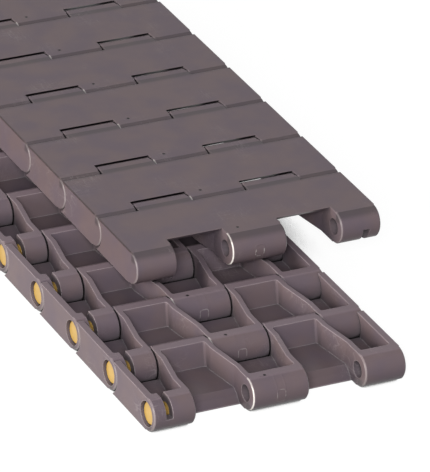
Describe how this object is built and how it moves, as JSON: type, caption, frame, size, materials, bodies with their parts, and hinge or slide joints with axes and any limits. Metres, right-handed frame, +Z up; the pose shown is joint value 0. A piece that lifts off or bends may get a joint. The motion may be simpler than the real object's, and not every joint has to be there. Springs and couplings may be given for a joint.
{
  "type": "slat top chain",
  "caption": "Two lengths of moulded plastic slat top chain, one upside down under the other, with hinge pins and push-in plugs",
  "frame": {"origin": "middle of the underside of the pair: the plane that the lower length rests on, below the centre of the whole box", "axes": "+X across the chain, towards the side of the upper length where the plugs are; +Y along the chain, from the three-knuckle edges to the two-knuckle edges; +Z up, out of the upper length's carrying face"},
  "size_m": [0.1084, 0.2902, 0.0217],
  "materials": {
    "slat_plastic": "satin moulded acetal, brown-grey",
    "pin_steel": "ground stainless steel rod",
    "plug_plastic": "moulded acetal, warm yellow"
  },
  "bodies": {
    "lower_link_1": {"lower_slat_1": "slat_plastic", "lower_plug_1": "plug_plastic"},
    "lower_link_2": {"lower_slat_2": "slat_plastic", "lower_pin_2": "pin_steel", "lower_plug_2": "plug_plastic"},
    "lower_link_3": {"lower_slat_3": "slat_plastic", "lower_pin_3": "pin_steel", "lower_plug_3": "plug_plastic"},
    "lower_link_4": {"lower_slat_4": "slat_plastic", "lower_pin_4": "pin_steel", "lower_plug_4": "plug_plastic"},
    "lower_link_5": {"lower_slat_5": "slat_plastic", "lower_pin_5": "pin_steel", "lower_plug_5": "plug_plastic"},
    "lower_link_6": {"lower_slat_6": "slat_plastic", "lower_pin_6": "pin_steel", "lower_plug_6": "plug_plastic"},
    "lower_link_7": {"lower_slat_7": "slat_plastic", "lower_pin_7": "pin_steel", "lower_plug_7": "plug_plastic"},
    "lower_link_8": {"lower_slat_8": "slat_plastic", "lower_pin_8": "pin_steel", "lower_plug_8": "plug_plastic"},
    "lower_link_9": {"lower_slat_9": "slat_plastic", "lower_pin_9": "pin_steel", "lower_plug_9": "plug_plastic"},
    "lower_link_10": {"lower_slat_10": "slat_plastic", "lower_pin_10": "pin_steel", "lower_plug_10": "plug_plastic"},
    "lower_link_11": {"lower_slat_11": "slat_plastic", "lower_pin_11": "pin_steel", "lower_plug_11": "plug_plastic"},
    "upper_link_1": {"upper_slat_1": "slat_plastic"},
    "upper_link_2": {"upper_slat_2": "slat_plastic", "upper_pin_2": "pin_steel", "upper_plug_2": "plug_plastic"},
    "upper_link_3": {"upper_slat_3": "slat_plastic", "upper_pin_3": "pin_steel", "upper_plug_3": "plug_plastic"},
    "upper_link_4": {"upper_slat_4": "slat_plastic", "upper_pin_4": "pin_steel", "upper_plug_4": "plug_plastic"},
    "upper_link_5": {"upper_slat_5": "slat_plastic", "upper_pin_5": "pin_steel", "upper_plug_5": "plug_plastic"},
    "upper_link_6": {"upper_slat_6": "slat_plastic", "upper_pin_6": "pin_steel", "upper_plug_6": "plug_plastic"},
    "upper_link_7": {"upper_slat_7": "slat_plastic", "upper_pin_7": "pin_steel", "upper_plug_7": "plug_plastic"}
  },
  "joints": [
    {"name": "lower_hinge_2", "type": "hinge", "parent": "lower_link_2", "child": "lower_link_1", "pos_m": [-0.01235, -0.1143, 0.0053], "axis": [-1, 0, 0], "range_deg": [-30, 45]},
    {"name": "lower_hinge_3", "type": "hinge", "parent": "lower_link_3", "child": "lower_link_2", "pos_m": [-0.01235, -0.0889, 0.0053], "axis": [-1, 0, 0], "range_deg": [-30, 45]},
    {"name": "lower_hinge_4", "type": "hinge", "parent": "lower_link_4", "child": "lower_link_3", "pos_m": [-0.01235, -0.0635, 0.0053], "axis": [-1, 0, 0], "range_deg": [-30, 0]},
    {"name": "lower_hinge_5", "type": "hinge", "parent": "lower_link_5", "child": "lower_link_4", "pos_m": [-0.01235, -0.0381, 0.0053], "axis": [-1, 0, 0], "range_deg": [-30, 0]},
    {"name": "lower_hinge_6", "type": "hinge", "parent": "lower_link_6", "child": "lower_link_5", "pos_m": [-0.01235, -0.0127, 0.0053], "axis": [-1, 0, 0], "range_deg": [-30, 0]},
    {"name": "lower_hinge_7", "type": "hinge", "parent": "lower_link_6", "child": "lower_link_7", "pos_m": [-0.01235, 0.0127, 0.0053], "axis": [1, 0, 0], "range_deg": [-30, 0]},
    {"name": "lower_hinge_8", "type": "hinge", "parent": "lower_link_7", "child": "lower_link_8", "pos_m": [-0.01235, 0.0381, 0.0053], "axis": [1, 0, 0], "range_deg": [-30, 0]},
    {"name": "lower_hinge_9", "type": "hinge", "parent": "lower_link_8", "child": "lower_link_9", "pos_m": [-0.01235, 0.0635, 0.0053], "axis": [1, 0, 0], "range_deg": [-30, 0]},
    {"name": "lower_hinge_10", "type": "hinge", "parent": "lower_link_9", "child": "lower_link_10", "pos_m": [-0.01235, 0.0889, 0.0053], "axis": [1, 0, 0], "range_deg": [-30, 0]},
    {"name": "lower_hinge_11", "type": "hinge", "parent": "lower_link_10", "child": "lower_link_11", "pos_m": [-0.01235, 0.1143, 0.0053], "axis": [1, 0, 0], "range_deg": [-30, 45]},
    {"name": "upper_lift_off", "type": "slide", "parent": "lower_link_6", "child": "upper_link_4", "axis": [0, 0, 1], "range_m": [0, 0.06]},
    {"name": "upper_hinge_2", "type": "hinge", "parent": "upper_link_2", "child": "upper_link_1", "pos_m": [0.01235, -0.0511, 0.0164], "axis": [-1, 0, 0], "range_deg": [0, 30]},
    {"name": "upper_hinge_3", "type": "hinge", "parent": "upper_link_3", "child": "upper_link_2", "pos_m": [0.01235, -0.0257, 0.0164], "axis": [-1, 0, 0], "range_deg": [0, 30]},
    {"name": "upper_hinge_4", "type": "hinge", "parent": "upper_link_4", "child": "upper_link_3", "pos_m": [0.01235, -0.0003, 0.0164], "axis": [-1, 0, 0], "range_deg": [0, 30]},
    {"name": "upper_hinge_5", "type": "hinge", "parent": "upper_link_4", "child": "upper_link_5", "pos_m": [0.01235, 0.0251, 0.0164], "axis": [1, 0, 0], "range_deg": [0, 30]},
    {"name": "upper_hinge_6", "type": "hinge", "parent": "upper_link_5", "child": "upper_link_6", "pos_m": [0.01235, 0.0505, 0.0164], "axis": [1, 0, 0], "range_deg": [0, 30]},
    {"name": "upper_hinge_7", "type": "hinge", "parent": "upper_link_6", "child": "upper_link_7", "pos_m": [0.01235, 0.0759, 0.0164], "axis": [1, 0, 0], "range_deg": [0, 30]}
  ]
}
